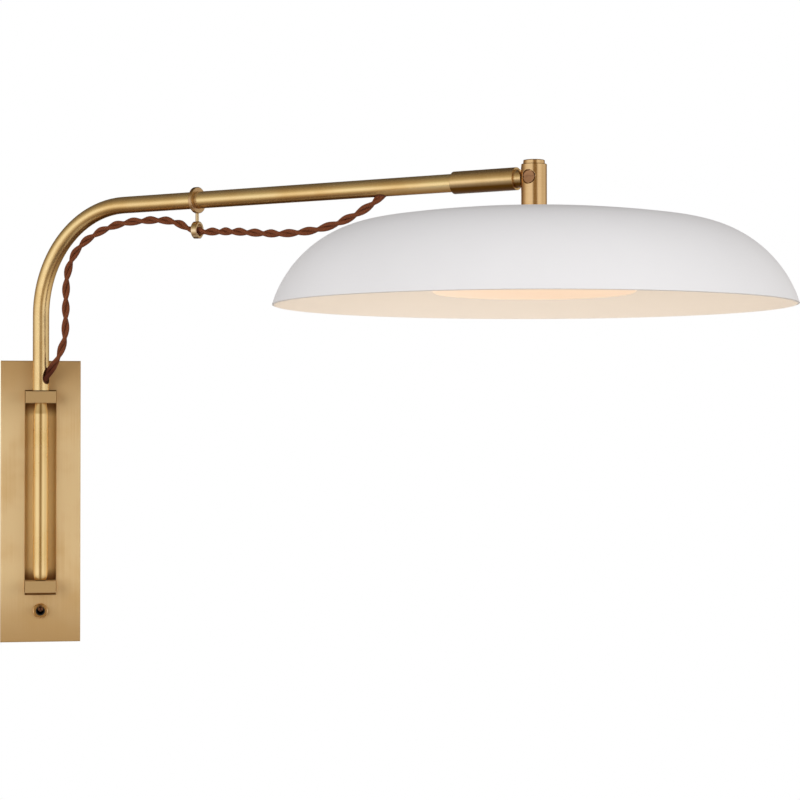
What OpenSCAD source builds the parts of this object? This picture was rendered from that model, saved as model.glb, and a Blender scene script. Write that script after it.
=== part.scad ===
// Articulating wall light: a slotted wall plate, a swinging bent tube arm,
// an outside twisted cord, and a domed shade on a rolling and tilting head.
// The wall is the plane y = 0, the plate faces -Y, and Z points up.
// The origin lies on the wall behind the middle of the plate.

/* [Wall plate] */
// Width of the plate
plate_w = 62; // [60:0.5:90]
// Height of the plate
plate_h = 220; // [210:0.5:280]
// How far the plate stands off the wall
plate_d = 12; // [12:0.5:20]
// Thickness of the plate's face
plate_face_t = 2.5; // [2:0.1:3]
// Thickness of the plate's folded sides
plate_side_t = 1.6; // [1.2:0.1:2.5]
// Width of the bevel round the plate's front and its window
plate_bevel = 0.8; // [0.3:0.1:1.2]

/* [Yoke] */
// Width of the yoke's lugs
yoke_w = 23.6; // [22:0.2:30]
// Height of each lug
lug_h = 9.3; // [9:0.1:12]
// Clear height between the two lugs
lug_gap = 138.2; // [120:0.2:150]
// Distance from the plate's top edge down to the upper lug
yoke_drop = 24; // [18:0.1:30]
// Metal left in front of the pivot bushes
lug_front_t = 1; // [0.9:0.1:4]
// Thickness of the yoke's flange behind the plate
flange_t = 4.5; // [4:0.1:5]
// Width of the flange's border round the window
flange_border = 6.5; // [6:0.1:8]
// Depth of the pocket between the lugs
pocket_d = 2; // [1:0.1:2.5]
// Gap at each side of the window
window_side_gap = 0.2; // [0.2:0.1:0.6]
// Gap above the upper lug
window_top_gap = 1; // [0.3:0.1:1.2]
// Gap below the lower lug
window_bottom_gap = 2.5; // [0.5:0.1:3]

/* [Mounting strap] */
// Width of the strap
strap_w = 28; // [26:1:40]
// Thickness of the strap
strap_t = 2.4; // [2:0.1:2.5]
// Distance between the outlet box screws
box_screw_pitch = 83.3; // [70:0.1:90]
// Hole for an outlet box screw
box_hole_d = 4.4; // [4:0.1:5]
// Hole for the supply leads
supply_hole_d = 20; // [12:1:22]
// Diameter of the screws in the plate's top and bottom edges
edge_screw_d = 3; // [3:0.1:3.5]

/* [Arm] */
// Diameter of the arm tube
tube_d = 12.7; // [12.4:0.1:14]
// Wall thickness of the arm tube
tube_t = 1.2; // [1:0.1:1.4]
// Distance from the swing axis to the tilt axis
arm_len = 436; // [430:0.2:480]
// Height of the arm's axis above the plate's top edge
arm_rise = 117; // [110:0.1:140]
// Radius of the tube's bend at its axis
bend_r = 81.8; // [70:0.1:95]
// Angle between the arm and the wall at rest
rest_swing = 41.4; // [23:0.2:90]
// Gap between the tube and the plate's face
post_gap = 0.5; // [0.4:0.1:3]

/* [Pivot] */
// Diameter of the rod between the lugs
rod_d = 11.5; // [11:0.1:13]
// Diameter of the rod's upper end
rod_top_d = 9; // [8.6:0.1:10]
// Diameter of the rod's lower end
rod_bottom_d = 7.4; // [7.2:0.1:9]
// Length of each tapered end
rod_taper = 8.2; // [5:0.1:12]
// Diameter of the hollow stud through the upper lug
stud_d = 8; // [7.6:0.1:8.4]
// Height of the stud's head inside the tube
stud_head_h = 4.7; // [3:0.1:5.5]
// Length of the stud and of the pin inside the rod
pivot_engage = 9; // [6:0.5:14]
// Diameter of the pin in the lower lug
pin_d = 6.4; // [6:0.1:6.8]
// Wall thickness of the two bushes
bush_t = 1.5; // [1:0.1:2]
// Length of the lower bush
lower_bush_h = 4.5; // [3.5:0.1:4.6]
// Bore for the leads through the pivot
lead_bore_d = 3.8; // [3:0.1:4.2]
// Thickness of the thrust washer on the upper lug
thrust_t = 0.5; // [0.3:0.1:1]

/* [Cord guide] */
// Distance from the swing axis to the collar's middle
collar_at = 151.4; // [140:0.1:165]
// Diameter of the collar
collar_d = 19.6; // [18:0.1:22]
// Width of the collar
collar_w = 3; // [2.6:0.1:5]
// Distance from the arm's axis down to the eye's centre
eye_drop = 22.3; // [22:0.1:24]
// Diameter of the eye
eye_d = 12.8; // [12.5:0.1:15]
// Bore of the eye
eye_bore_d = 8.4; // [8.2:0.1:9]
// Width of the eye
eye_w = 4.8; // [3:0.1:6]
// Turn of the eye from the arm's line, about its stem
eye_turn = 9; // [0:1:12]
// Diameter of the eye's stem
stem_d = 2.6; // [2:0.1:3.5]

/* [Cord] */
// Outside diameter of the twisted cord
cord_d = 6.2; // [5.6:0.1:6.3]
// Gap round the cord in its two ferrules
cord_gap = 0.25; // [0.15:0.05:0.4]
// Wall thickness of a ferrule
ferrule_t = 0.5; // [0.3:0.1:0.7]

/* [End sleeve and neck] */
// Diameter of the sleeve at the arm's end
sleeve_d = 15.7; // [15.6:0.1:18]
// Length of the sleeve
sleeve_len = 49.2; // [42:0.1:60]
// Distance from the sleeve's end to the tilt axis
sleeve_end = 13.1; // [13:0.1:16]
// Length of the neck's journal inside the sleeve
journal_len = 20; // [16:1:24]
// Thickness of the neck's tongue
tongue_t = 6; // [5:0.1:7]
// Height of the neck's tongue
tongue_h = 11; // [10:0.1:11.4]
// Bore for the leads through the neck
neck_bore_d = 4.4; // [3.5:0.1:4.8]

/* [Knuckle] */
// Diameter of the knuckle
knuckle_d = 17.6; // [16:0.1:18]
// Height of the knuckle above the tilt axis
knuckle_up = 9.1; // [9:0.05:10.4]
// Largest tilt of the shade
tilt_max = 15; // [5:1:15]
// Diameter of the knuckle's cap
cap_d = 14.8; // [10:0.1:16]
// Height of the knuckle's cap
cap_h = 2.75; // [1.5:0.05:3]
// Diameter of the tilt screw
tilt_screw_d = 4; // [3.5:0.1:4.4]
// Diameter of the tilt screw's head
tilt_head_d = 8.4; // [7:0.1:8.8]
// Thickness of the tilt screw's head
tilt_head_t = 2; // [1.6:0.1:2.1]
// Thickness of each friction washer
tilt_washer_t = 0.4; // [0.2:0.1:0.5]

/* [Shade] */
// Diameter of the shade at its rim
shade_d = 355.6; // [320:0.2:400]
// Height of the shade
shade_h = 64.9; // [60:0.1:90]
// Distance from the tilt axis down to the shade's top
shade_drop = 22; // [22:0.1:30]
// Thickness of the shade's sheet
shade_t = 1.5; // [1:0.1:2]
// Radius of the nearly flat crown's outer edge
crown_r = 113; // [95:0.5:115]
// Fall of the crown from its middle to its edge
crown_fall = 8.8; // [5:0.1:9]

/* [Light engine] */
// Diameter of the threaded hanger tube
nipple_d = 10; // [9:0.1:10.4]
// Bore of the hanger tube
nipple_bore_d = 7; // [5:0.1:8]
// Distance between flats of the hexagon nuts
nut_flats = 14; // [13:0.5:17]
// Height of a hexagon nut
nut_h = 4.5; // [3:0.1:5]
// Diameter of the washer under the shade
shade_washer_d = 28; // [20:1:40]
// Thickness of that washer
shade_washer_t = 1.5; // [1:0.1:2]
// Distance from the shade's top down to the pan
pan_drop = 32; // [31:0.1:34.5]
// Diameter of the pan
pan_d = 148; // [140:1:160]
// Thickness of the pan's sheet
pan_t = 1.2; // [1:0.1:2]
// Height of the pan
pan_h = 18; // [17:0.5:20]
// Thickness of the heat spreader
spreader_t = 3; // [2:0.1:4]
// Distance from the pan's side in to the light emitting board
board_inset = 13; // [11:0.5:16]
// Thickness of the board
board_t = 1.6; // [1:0.1:2]
// Number of emitters on the outer circle
emitters = 18; // [12:1:24]
// Distance from the pan's side in to the diffuser's dome
diffuser_inset = 3; // [2.5:0.1:6]
// Fall of the dome below its flange
diffuser_fall = 8; // [6:0.1:9]
// Thickness of the diffuser
diffuser_t = 2; // [1.5:0.1:2.4]
// Sheet thickness of the diffuser's ring
ring_t = 1.2; // [1:0.1:1.6]
// Length of the driver's case
driver_len = 48; // [40:1:52]
// Width of the driver's case
driver_w = 32; // [24:1:38]
// Height of the driver's case
driver_h = 18; // [14:1:22]

/* [Switch] */
// Height of the switch above the plate's bottom edge
switch_up = 24.4; // [22:0.1:26]
// Diameter of the switch's threaded bushing
bushing_d = 7; // [6.4:0.1:7.4]
// How far the bushing stands out of the plate
bushing_out = 3.2; // [3:0.1:5]
// Diameter of the round dress nut
dress_nut_d = 11.6; // [11:0.1:15]
// Thickness of the dress nut
dress_nut_t = 2.2; // [1.5:0.1:2.8]
// Length of the lever from its pivot
lever_len = 14; // [12:0.5:20]
// Angle of the lever to each side of its middle
lever_throw = 11; // [8:1:14]

/* [Hidden] */

$fn = 64;
// Fine steps for the large turned shells
fine = 96;
// Extra reach of a cutting body past the face it cuts
cut = 1;
// Radial gap of a running fit
run_gap = 0.05;
// Radial gap of a fixed fit
fixed_gap = 0.02;
// Radial gap of a screw in a plain hole
screw_gap = 0.2;
// Gap between faces that slide past each other
face_gap = 0.1;

// Wall plate and yoke
plate_top = plate_h / 2;
face_back = -(plate_d - plate_face_t);
yoke_top = plate_top - yoke_drop;
gap_top = yoke_top - lug_h;
gap_bottom = gap_top - lug_gap;
yoke_bottom = gap_bottom - lug_h;
window_w = yoke_w + 2 * window_side_gap;
window_top = yoke_top + window_top_gap;
window_bottom = yoke_bottom - window_bottom_gap;
flange_w = window_w + 2 * flange_border;
flange_top = window_top + flange_border;
flange_bottom = window_bottom - flange_border;
flange_back = face_back + flange_t;
stud_inset = flange_border / 2;
clamp_stud_d = 3;
clamp_nut_flats = 5.5;
clamp_nut_h = 2.2;
lug_bevel = 0.4;

// Swing axis
post_off = plate_d + post_gap + tube_d / 2;
upper_bush_d = stud_d + 2 * run_gap + 2 * bush_t;
lower_bush_d = pin_d + 2 * run_gap + 2 * bush_t;
lug_front = -(post_off + max(upper_bush_d, lower_bush_d) / 2 + lug_front_t);
tube_bottom = yoke_top + thrust_t;
tube_bore_d = tube_d - 2 * tube_t;
arm_z = plate_top + arm_rise;
lead_floor_t = 1;
lead_port_z = yoke_bottom + lead_floor_t + lead_bore_d / 2;

// Sleeve, neck and knuckle, measured from the tilt axis towards the arm
sleeve_to = arm_len - sleeve_end;
sleeve_from = sleeve_to - sleeve_len;
journal_from = sleeve_to - journal_len;
tube_end_gap = 1;
tube_to = journal_from - tube_end_gap;
neck_d = tube_d - 2 * run_gap;
sleeve_bore_d = tube_d + 2 * fixed_gap;
set_screw_d = 3;
set_screw_sunk = 0.3;
collar_screw_sunk = 0.4;
collar_screw_d = 1.6;
stem_spigot_d = 1.6;
ring_ease = 0.45;
stem_seat = 0.02;
sleeve_screw_at = sleeve_from + 10;
groove_at = journal_from + journal_len / 2;
groove_d = 9.6;
roll_half = 90;
pocket_r = tongue_h / 2 + 0.3;
slot_r = tongue_h / 2 + 0.2;
pocket_w = tongue_t + 2 * (tilt_washer_t + 0.03);
neck_gap = 0.35;
neck_end = knuckle_d / 2 - 1.4;
lead_turn = knuckle_d / 2 + 0.6;
screw_sunk = 1.2;
counterbore_d = tilt_head_d + 1.5;
head_seat = knuckle_d / 2 - screw_sunk - tilt_head_t;
screw_slot_w = 1;
screw_slot_d = 0.8;
knuckle_edge = 0.35;
cap_spigot_d = 5;
cap_spigot_h = 1.8;
nipple_grip = 9;

// Shade profile: a crown arc and a shoulder arc that leaves it without a kink
shade_r = shade_d / 2;
crown_arc_r = (crown_r * crown_r + crown_fall * crown_fall) / (2 * crown_fall);
crown_angle = asin(crown_r / crown_arc_r);
run_x = shade_r - crown_r;
run_z = shade_h - crown_fall;
shoulder_r = (run_x * run_x + run_z * run_z)
    / (2 * (run_z * cos(crown_angle) - run_x * sin(crown_angle)));
shoulder_x = crown_r - shoulder_r * sin(crown_angle);
shoulder_z = crown_fall + shoulder_r * cos(crown_angle);
rim_angle = acos((shoulder_z - shade_h) / shoulder_r);
crown_steps = 10;
shoulder_steps = 26;

// Light engine heights, measured from the tilt axis
shade_top = -shade_drop;
washer_r = shade_washer_d / 2;
washer_sag = crown_arc_r - sqrt(crown_arc_r * crown_arc_r - washer_r * washer_r);
washer_top = shade_top - shade_t - washer_sag - 0.02;
shade_nut_top = washer_top - shade_washer_t;
pan_top = shade_top - pan_drop;
pan_floor = pan_top - pan_t;
pan_rim = pan_top - pan_h;
nipple_bottom = pan_floor - nut_h - 1;
nipple_hole_d = nipple_d + 2 * fixed_gap;
engine_hole_d = nut_flats + 6;
spreader_bottom = pan_floor - spreader_t;
board_d = pan_d - 2 * board_inset;
board_bottom = spreader_bottom - board_t;
board_screw_r = board_d / 2 - 6;
board_screw_d = 3;
chip_w = 5;
chip_t = 1;
chip_outer_r = board_d / 2 - 16;
chip_row_gap = 18;
chip_inner_r = chip_outer_r - chip_row_gap;
diffuser_d = pan_d - 2 * diffuser_inset;
flange_out = diffuser_inset - 1;
lens_flange_t = 1.6;
lens_flange_r = diffuser_d / 2 + flange_out;
lens_top = pan_rim - 0.05;
lens_bottom = lens_top - lens_flange_t;
lens_corner_r = 6;
lens_in = 0.3;
ring_skirt = 8;
ring_in_r = pan_d / 2 + 0.15;
ring_screw_d = 2.5;
driver_x = 11;
driver_screw_d = 3;
driver_foot_t = 2;
driver_foot = 6;

// Switch, leads and wiring inside the plate
switch_z = -plate_top + switch_up;
lever_pivot = -plate_d + 1;
switch_body_w = 12.7;
switch_body_h = 8;
switch_body_d = 8;
terminal_pitch = 4.7;
terminal_len = 3.5;
strap_window = [18, 16];
block_w = 9;
block_h = 28;
block_d = 7;
block_x = flange_w / 2 + 1 + block_w / 2;
block_z = -25;
block_screw_pitch = 9;
lead_d = 2;
ground_z = (flange_top + plate_top) / 2 - 1.5;
tab_reach = plate_d - 3.5;
edge_screw_y = -tab_reach / 2 - 0.5;

// Route of the cord in the arm's upright plane: distance from the swing axis,
// then height from the arm's axis. It runs from the post to the arm.
CORD = [[3.7, -132.6], [6.3, -129.1], [11.8, -122.2], [16.9, -115.6], [20.9, -107.7], [24, -99.4],
    [24.8, -85.1], [25, -70.3], [25.8, -54.6], [30, -40.6], [39.6, -29.1], [52.8, -21.5],
    [67.8, -16.2], [84, -13.4], [99.7, -12.7], [116.4, -13], [131.2, -15.4], [143.2, -20.4],
    [151.4, -22.8], [160, -23.8], [172.3, -24.2], [184.6, -24.8], [197.4, -26], [211.5, -27.3],
    [226.3, -28.3], [242.4, -28.2], [259.8, -26.7], [277.2, -23], [292.8, -17.4], [305.2, -11.4],
    [312.4, -6.3], [316.2, -3.4]];
ENTRY = 1;
EXIT = len(CORD) - 2;
cord_sides = 10;
lead_sides = 8;

// Places a child in the arm's frame: x along the arm, z from the arm's axis
module on_arm() {
    translate([0, -post_off, arm_z]) rotate([0, 0, -rest_swing]) children();
}

// A ring along x with its outer corners eased, and its bore's corners eased by bore_ease
module eased_ring(d, bore, w, bore_ease) {
    rotate([0, 90, 0]) rotate_extrude() polygon([
        [bore / 2, bore_ease - w / 2], [bore / 2 + bore_ease, -w / 2], [d / 2 - ring_ease, -w / 2],
        [d / 2, ring_ease - w / 2], [d / 2, w / 2 - ring_ease], [d / 2 - ring_ease, w / 2],
        [bore / 2 + bore_ease, w / 2], [bore / 2, w / 2 - bore_ease]]);
}

// Places a child at the tilt axis
module on_head() {
    on_arm() translate([arm_len, 0, 0]) children();
}

// Places a child on the swing axis, at the wall's own heights
module on_post() {
    translate([0, -post_off, 0]) rotate([0, 0, -rest_swing]) children();
}

// A block between two corners
module block(low, high) {
    translate(low) cube(high - low);
}

// A rod along Y from y = 0 towards the viewer
module forward(d, len) {
    rotate([90, 0, 0]) cylinder(d = d, h = len);
}

// A rod along the arm from x = 0
module along(d, len) {
    rotate([0, 90, 0]) cylinder(d = d, h = len);
}

// A hexagon prism standing on z = 0
module hexagon(flats, h) {
    cylinder(r = flats / sqrt(3), h = h, $fn = 6);
}

// A countersunk screw whose head lies flush at z = 0 and whose shank points down
module flush_screw(d, head_d, len) {
    head_h = (head_d - d) / 2;
    rotate_extrude() polygon([[0, 0], [head_d / 2, 0], [d / 2, -head_h], [d / 2, -len], [0, -len]]);
}

// A pan head screw: head above z = 0, shank below
module pan_screw(d, head_d, head_h, len) {
    edge = head_h * 0.3;
    rotate_extrude() polygon([[0, head_h], [head_d / 2 - edge, head_h], [head_d / 2, head_h - edge],
        [head_d / 2, 0], [d / 2, 0], [d / 2, -len], [0, -len]]);
}

// One point between b and c on a smooth curve through a, b, c and d
function between(a, b, c, d) = (-a + 9 * b + 9 * c - d) / 16;

// The points with one more between each pair
function finer(p) = [for (i = [0 : len(p) - 1]) each
    i == len(p) - 1 ? [p[i]]
    : [p[i], between(p[max(i - 1, 0)], p[i], p[i + 1], p[min(i + 2, len(p) - 1)])]];

// The direction of a route at point i
function heading(p, i) = let (v = p[min(i + 1, len(p) - 1)] - p[max(i - 1, 0)]) v / norm(v);

// A tube swept along points, its rings square to the route
module swept(points, d, sides, up) {
    rings = [for (i = [0 : len(points) - 1])
        let (t = heading(points, i), a = cross(up, t) / norm(cross(up, t)), b = cross(t, a))
        for (k = [0 : sides - 1]) points[i] + d / 2 * (a * cos(360 * k / sides) + b * sin(360 * k / sides))];
    last = (len(points) - 1) * sides;
    walls = [for (i = [0 : len(points) - 2], k = [0 : sides - 1])
        let (n = (k + 1) % sides, o = i * sides)
        each [[o + k, o + sides + k, o + n], [o + n, o + sides + k, o + sides + n]]];
    polyhedron(points = rings, faces = [each walls, [for (k = [0 : sides - 1]) k],
        [for (k = [sides - 1 : -1 : 0]) last + k]]);
}

// The cross section of a box with two bevelled front corners
module bevelled(w, back, front, bevel) {
    polygon([[-w / 2, back], [w / 2, back], [w / 2, front + bevel], [w / 2 - bevel, front],
        [-w / 2 + bevel, front], [-w / 2, front + bevel]]);
}

// A block with its four front edges bevelled
module bevelled_block(w, back, front, low, high, bevel) {
    intersection() {
        translate([0, 0, low]) linear_extrude(high - low) bevelled(w, back, front, bevel);
        translate([-w / 2, 0, 0]) rotate([90, 0, 90]) linear_extrude(w)
            polygon([[back, low], [front + bevel, low], [front, low + bevel], [front, high - bevel],
                [front + bevel, high], [back, high]]);
    }
}

// A cut that widens towards the front, for a bevelled window
module window_cut(w, low, high, front, back, bevel) {
    block([-w / 2, front - cut, low], [w / 2, back + cut, high]);
    translate([0, 0, low]) linear_extrude(high - low) polygon([[-w / 2 - bevel - cut, front - cut],
        [w / 2 + bevel + cut, front - cut], [w / 2, front + bevel], [-w / 2, front + bevel]]);
}

// The four places of the yoke's clamping studs
module at_studs() {
    for (x = [-1, 1], z = [flange_bottom + stud_inset, flange_top - stud_inset])
        translate([x * (flange_w / 2 - stud_inset), 0, z]) children();
}

module back_plate() {
    inner_w = plate_w - 2 * plate_side_t;
    inner_top = plate_top - plate_side_t;
    color("goldenrod") {
        difference() {
            bevelled_block(plate_w, 0, -plate_d, -plate_top, plate_top, plate_bevel);
            block([-inner_w / 2, face_back, -inner_top], [inner_w / 2, cut, inner_top]);
            window_cut(window_w, window_bottom, window_top, -plate_d, face_back, plate_bevel / 2);
            translate([0, face_back + cut, switch_z])
                forward(bushing_d + 2 * screw_gap, plate_face_t + 2 * cut);
            for (s = [-1, 1]) translate([0, edge_screw_y, s * plate_top])
                mirror([0, 0, s > 0 ? 0 : 1]) edge_seat(edge_screw_d + 2 * screw_gap);
        }
        at_studs() translate([0, flange_back + clamp_nut_h, 0])
            forward(clamp_stud_d, flange_t + clamp_nut_h);
    }
}

// The countersunk hole for an edge screw, its mouth at z = 0
module edge_seat(d) {
    head_d = 2 * edge_screw_d + 2 * screw_gap;
    translate([0, 0, -plate_side_t - cut]) cylinder(d = d, h = plate_side_t + 2 * cut);
    translate([0, 0, -(head_d - d) / 2]) cylinder(d1 = d, d2 = head_d, h = (head_d - d) / 2);
    cylinder(d = head_d, h = cut);
}

module yoke() {
    color("peru") difference() {
        union() {
            block([-flange_w / 2, face_back, flange_bottom], [flange_w / 2, flange_back, flange_top]);
            bevelled_block(yoke_w, face_back + cut, lug_front, gap_top, yoke_top, lug_bevel);
            bevelled_block(yoke_w, face_back + cut, lug_front, yoke_bottom, gap_bottom, lug_bevel);
        }
        block([-yoke_w / 2, face_back - cut, gap_bottom], [yoke_w / 2, face_back + pocket_d, gap_top]);
        translate([0, -post_off, gap_top - cut])
            cylinder(d = upper_bush_d + 2 * fixed_gap, h = lug_h + 2 * cut);
        translate([0, -post_off, gap_bottom - lower_bush_h])
            cylinder(d = lower_bush_d + 2 * fixed_gap, h = lower_bush_h + cut);
        translate([0, -post_off, lead_port_z])
            cylinder(d = lead_bore_d - 0.4, h = lower_bush_h + lead_bore_d);
        translate([0, flange_back + cut, lead_port_z]) forward(lead_bore_d, post_off + flange_back + cut);
        at_studs() translate([0, flange_back + cut, 0])
            forward(clamp_stud_d + 2 * screw_gap, flange_t + 2 * cut);
    }
}

module yoke_nuts() {
    color("silver") at_studs() translate([0, flange_back + clamp_nut_h, 0]) rotate([90, 0, 0])
        difference() {
            hexagon(clamp_nut_flats, clamp_nut_h);
            translate([0, 0, -cut]) cylinder(d = clamp_stud_d + 2 * fixed_gap, h = clamp_nut_h + 2 * cut);
        }
}

module mounting_strap() {
    strap_top = plate_top - plate_side_t - face_gap;
    color("lightgray") difference() {
        union() {
            block([-strap_w / 2, -strap_t, -strap_top], [strap_w / 2, 0, strap_top]);
            for (s = [-1, 1]) mirror([0, 0, s > 0 ? 0 : 1])
                block([-strap_w / 4, -tab_reach, strap_top - strap_t], [strap_w / 4, 0, strap_top]);
        }
        for (z = [-box_screw_pitch / 2, box_screw_pitch / 2])
            translate([0, cut, z]) forward(box_hole_d, strap_t + 2 * cut);
        translate([0, cut, 0]) forward(supply_hole_d, strap_t + 2 * cut);
        translate([0, cut, ground_z]) forward(4 + 2 * fixed_gap, strap_t + 2 * cut);
        block([-strap_window[0] / 2, -strap_t - cut, switch_z - strap_window[1] / 2],
            [strap_window[0] / 2, cut, switch_z + strap_window[1] / 2]);
        for (s = [-1, 1]) translate([0, edge_screw_y, s * strap_top - (s > 0 ? strap_t + cut : cut)])
            cylinder(d = edge_screw_d + 2 * fixed_gap, h = strap_t + 2 * cut);
    }
}

module plate_screws() {
    color("goldenrod") for (s = [-1, 1]) translate([0, edge_screw_y, s * (plate_top - face_gap / 2)])
        mirror([0, 0, s > 0 ? 0 : 1])
            flush_screw(edge_screw_d, 2 * edge_screw_d, plate_side_t + face_gap + strap_t + 1);
}

module ground_screw() {
    color("seagreen") translate([0, -strap_t, ground_z]) rotate([90, 0, 0])
        pan_screw(4, 7.5, 2.4, strap_t - 0.3);
}

module upper_bush() {
    color("darkgoldenrod") translate([0, -post_off, gap_top]) difference() {
        cylinder(d = upper_bush_d, h = lug_h);
        translate([0, 0, -cut]) cylinder(d = stud_d + 2 * run_gap, h = lug_h + 2 * cut);
    }
}

module lower_bush() {
    color("darkgoldenrod") translate([0, -post_off, gap_bottom - lower_bush_h]) difference() {
        cylinder(d = lower_bush_d, h = lower_bush_h);
        translate([0, 0, -cut]) cylinder(d = pin_d + 2 * run_gap, h = lower_bush_h + 2 * cut);
    }
}

module terminal_block() {
    color("ivory") translate([block_x, face_back, block_z]) difference() {
        block([-block_w / 2, 0, -block_h / 2], [block_w / 2, block_d, block_h / 2]);
        for (i = [-1 : 1]) translate([0, block_d + cut, i * block_screw_pitch]) {
            forward(4.2, 3.2 + cut);
            translate([-block_w, -block_d / 2 - cut, 0]) along(2.6, 2 * block_w);
        }
    }
}

module terminal_screws() {
    color("silver") for (i = [-1 : 1])
        translate([block_x, face_back + block_d - 1.1, block_z + i * block_screw_pitch])
            difference() {
                forward(3.6, 2.1);
                block([-2, -0.7, -0.4], [2, cut, 0.4]);
            }
}

// The switch's two leads, from its outer terminals to the terminal block
leads_from = switch_z - switch_body_h / 2 - terminal_len;
leads_start = leads_from - face_gap;
leads_to = block_z - block_h / 2 - face_gap;
INNER_LEAD = [[terminal_pitch, -6.2, leads_start], [terminal_pitch, -6.2, leads_from - 1.2],
    [terminal_pitch, -6.2, leads_from - 2.4], [7.5, -5.8, leads_from - 4.6],
    [13, -5.2, leads_from - 4.6], [18, -4.8, leads_from - 1], [block_x - 2.8, -4.6, leads_from + 6],
    [block_x - 2, -4.8, leads_from + 14], [block_x - 2, -5.4, leads_to - 20],
    [block_x - 2, -6, leads_to - 8], [block_x - 2, -6, leads_to - 4], [block_x - 2, -6, leads_to]];
OUTER_LEAD = [[-terminal_pitch, -6.2, leads_start], [-terminal_pitch, -6.2, leads_from - 1.6],
    [-terminal_pitch, -6.2, leads_from - 3.2], [-2.5, -5.8, leads_from - 6.2],
    [5, -5.2, leads_from - 8.2], [14, -4.8, leads_from - 8], [22, -4.6, leads_from - 4],
    [block_x + 1, -4.6, leads_from + 3], [block_x + 2, -4.8, leads_from + 12],
    [block_x + 2, -5.4, leads_to - 20], [block_x + 2, -6, leads_to - 8],
    [block_x + 2, -6, leads_to - 4], [block_x + 2, -6, leads_to]];

module switch_leads() {
    color("dimgray") for (route = [INNER_LEAD, OUTER_LEAD])
        swept(finer(route), lead_d, lead_sides, [0, 1, 0]);
}

// The earth lead, from its screw round the yoke's flange to the terminal block
GROUND = [[3.85, -3.5, ground_z], [6.4, -3.5, ground_z], [9, -3.5, ground_z],
    [16, -3.7, ground_z - 2], [block_x - 3, -4, ground_z - 8], [block_x, -4.6, ground_z - 18],
    [block_x + 1, -5, ground_z - 40], [block_x + 1, -5, (ground_z + block_z) / 2],
    [block_x, -5.6, block_z + block_h / 2 + 24], [block_x, -6, block_z + block_h / 2 + 8],
    [block_x, -6, block_z + block_h / 2 + 4], [block_x, -6, block_z + block_h / 2 + face_gap]];

module ground_lead() {
    color("green") swept(finer(GROUND), lead_d, lead_sides, [0, 1, 0]);
}

module switch_body() {
    color("firebrick") translate([0, 0, switch_z]) difference() {
        union() {
            block([-switch_body_w / 2, face_back, -switch_body_h / 2],
                [switch_body_w / 2, face_back + switch_body_d, switch_body_h / 2]);
            translate([0, face_back + cut, 0]) forward(bushing_d, plate_face_t + bushing_out + cut);
        }
        translate([0, lever_pivot + 2.6, 0]) forward(5.4, bushing_out + 5);
    }
}

module switch_terminals() {
    color("silver") for (i = [-1 : 1])
        block([i * terminal_pitch - 0.8, -6.6, leads_from],
            [i * terminal_pitch + 0.8, -5.8, leads_from + terminal_len]);
}

module switch_nut() {
    edge = 0.5;
    color("goldenrod") translate([0, -plate_d, switch_z]) rotate([90, 0, 0]) difference() {
        rotate_extrude() polygon([[0, 0], [dress_nut_d / 2, 0], [dress_nut_d / 2, dress_nut_t - edge],
            [dress_nut_d / 2 - edge, dress_nut_t], [0, dress_nut_t]]);
        translate([0, 0, -cut]) cylinder(d = bushing_d + 2 * fixed_gap, h = dress_nut_t + 2 * cut);
    }
}

module switch_lever() {
    root_r = 1.2;
    tip_r = 2;
    color("silver") translate([0, lever_pivot, switch_z]) rotate([90 - lever_throw, 0, 0])
        union() {
            sphere(r = 2.2);
            translate([-2.5, 0, 0]) along(1.6, 5);
            cylinder(r1 = root_r, r2 = tip_r, h = lever_len - tip_r);
            translate([0, 0, lever_len - tip_r]) sphere(r = tip_r);
        }
}

// A slanted rod along the cord's straight end, from outside the tube to its middle
module cord_end_rod(from, to, d) {
    v = CORD[to] - CORD[from];
    translate([CORD[from][0], 0, CORD[from][1]]) rotate([0, atan2(v[0], v[1]), 0])
        translate([0, 0, -1.4 * cord_d]) cylinder(d = d, h = 2.9 * cord_d);
}

module arm_solid(d, extra) {
    low = tube_bottom - arm_z - extra;
    translate([0, 0, low]) cylinder(d = d, h = -bend_r - low);
    translate([bend_r, 0, -bend_r]) rotate([90, 0, 0]) rotate_extrude(angle = 90, start = 90)
        translate([bend_r, 0]) circle(d = d);
    translate([bend_r, 0, 0]) along(d, tube_to - bend_r + extra);
}

module arm_tube() {
    hole_d = cord_d + 2 * (cord_gap + ferrule_t);
    color("darkgoldenrod") on_arm() difference() {
        arm_solid(tube_d, 0);
        arm_solid(tube_bore_d, cut);
        cord_end_rod(ENTRY, 0, hole_d);
        cord_end_rod(EXIT, len(CORD) - 1, hole_d);
        translate([sleeve_screw_at, 0, -tube_d]) cylinder(d = set_screw_d + 2 * screw_gap, h = tube_d);
    }
}

// A straight length of the tube's wall standing on z = 0
module tube_wall(len) {
    difference() {
        cylinder(d = tube_d, h = len);
        translate([0, 0, -cut]) cylinder(d = tube_bore_d, h = len + 2 * cut);
    }
}

// A liner for one of the cord's holes, before it is trimmed to the tube's wall
module ferrule(from, to) {
    outer = cord_d + 2 * (cord_gap + ferrule_t) - 2 * fixed_gap;
    difference() {
        cord_end_rod(from, to, outer);
        cord_end_rod(from, to, cord_d + 2 * cord_gap);
    }
}

module lower_ferrule() {
    low = tube_bottom - arm_z;
    color("saddlebrown") on_arm() intersection() {
        ferrule(ENTRY, 0);
        translate([0, 0, low]) tube_wall(-bend_r - low);
    }
}

module upper_ferrule() {
    color("saddlebrown") on_arm() intersection() {
        ferrule(EXIT, len(CORD) - 1);
        translate([bend_r, 0, 0]) rotate([0, 90, 0]) tube_wall(tube_to - bend_r);
    }
}

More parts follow.
